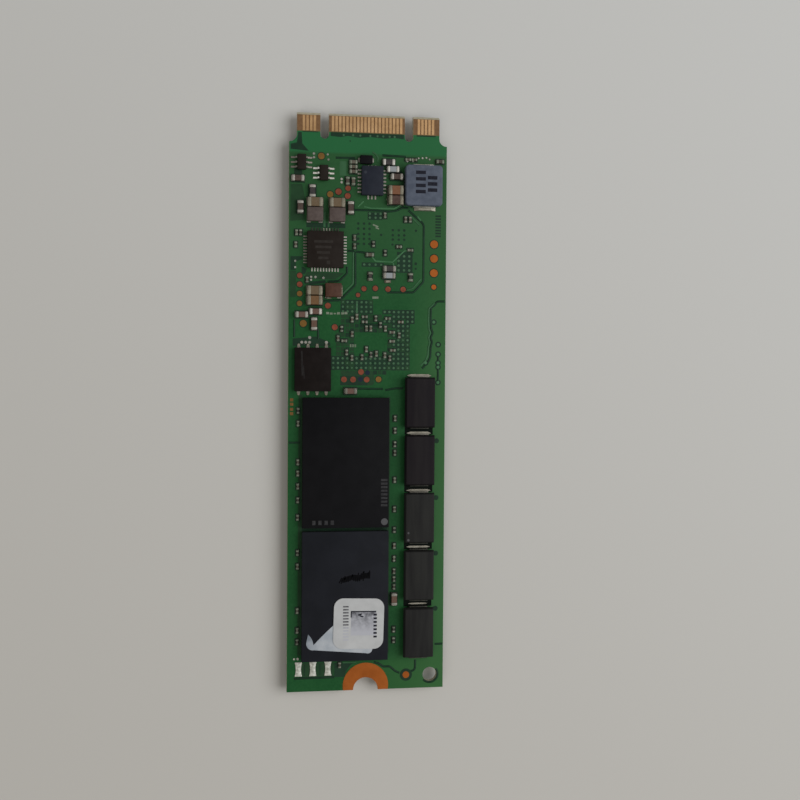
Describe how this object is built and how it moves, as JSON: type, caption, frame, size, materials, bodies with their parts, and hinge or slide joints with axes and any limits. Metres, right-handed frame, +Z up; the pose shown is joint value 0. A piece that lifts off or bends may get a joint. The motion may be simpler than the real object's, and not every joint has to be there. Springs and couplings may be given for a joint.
{
  "type": "gumstick solid state drive",
  "caption": "Slim solid state drive card with a keyed contact edge, a half-round screw notch, memory packages on both faces and a column of hold-up capacitors.",
  "frame": {"origin": "centre of the card's plan, on the surface that the packages of the lower face lie on", "axes": "+X across the card, +Y along it towards the contact edge, +Z up out of the face that the picture shows"},
  "size_m": [0.022, 0.08, 0.0035],
  "materials": {
    "solder_mask": "green solder mask over a glass laminate",
    "gold": "worn gold plate",
    "copper": "bare copper, slightly dull",
    "package_laminate": "dark laminate, sawn edge",
    "mould_black": "fine matt moulding compound",
    "capacitor_black": "moulded, satin",
    "inductor_grey": "pressed metal powder, blue grey",
    "ferrite_grey": "sintered ferrite",
    "ferrite_brown": "sintered ferrite, brown",
    "chip_ceramic": "fired ceramic, tan to brown",
    "solder": "reflowed solder",
    "tin": "tin plate",
    "label_white": "white film label, satin",
    "label_film": "thin pale film, torn"
  },
  "bodies": {
    "root": {"back_solder_balls": "solder", "buffer_memory_case": "mould_black", "buffer_memory_substrate": "package_laminate", "choke_core": "ferrite_brown", "circuit_board": "solder_mask", "code_label": "label_white", "controller_case": "mould_black", "controller_substrate": "package_laminate", "converter_chip_case": "mould_black", "converter_chip_leads": "tin", "diode_case": "mould_black", "diode_leads": "tin", "edge_contacts_back": "gold", "edge_contacts_front": "gold", "filter_inductor_cores": "ferrite_grey", "filter_terminals": "tin", "firmware_chip_case": "mould_black", "firmware_chip_leads": "tin", "flash_1_case": "mould_black", "flash_1_substrate": "package_laminate", "flash_2_case": "mould_black", "flash_2_substrate": "package_laminate", "flash_3_case": "mould_black", "flash_3_substrate": "package_laminate", "flash_4_case": "mould_black", "flash_4_substrate": "package_laminate", "front_solder_balls": "solder", "hold_up_capacitor_1_case": "capacitor_black", "hold_up_capacitor_1_leads": "tin", "hold_up_capacitor_2_case": "capacitor_black", "hold_up_capacitor_2_leads": "tin", "hold_up_capacitor_3_case": "capacitor_black", "hold_up_capacitor_3_leads": "tin", "hold_up_capacitor_4_case": "capacitor_black", "hold_up_capacitor_4_leads": "tin", "hold_up_capacitor_5_case": "capacitor_black", "hold_up_capacitor_5_leads": "tin", "large_chip_bodies": "chip_ceramic", "large_chip_ends": "tin", "medium_chip_bodies": "chip_ceramic", "medium_chip_ends": "tin", "power_inductor_core": "inductor_grey", "power_inductor_leads": "tin", "power_manager_case": "mould_black", "power_manager_leads": "tin", "screw_pad_back": "copper", "screw_pad_front": "copper", "small_chip_bodies": "chip_ceramic", "small_chip_ends": "tin", "solder_links": "solder", "switch_transistor_cases": "mould_black", "switch_transistor_legs": "tin", "test_pads": "copper", "tiny_chip_bodies": "chip_ceramic", "tiny_chip_ends": "tin", "torn_label": "label_film"}
  },
  "joints": []
}
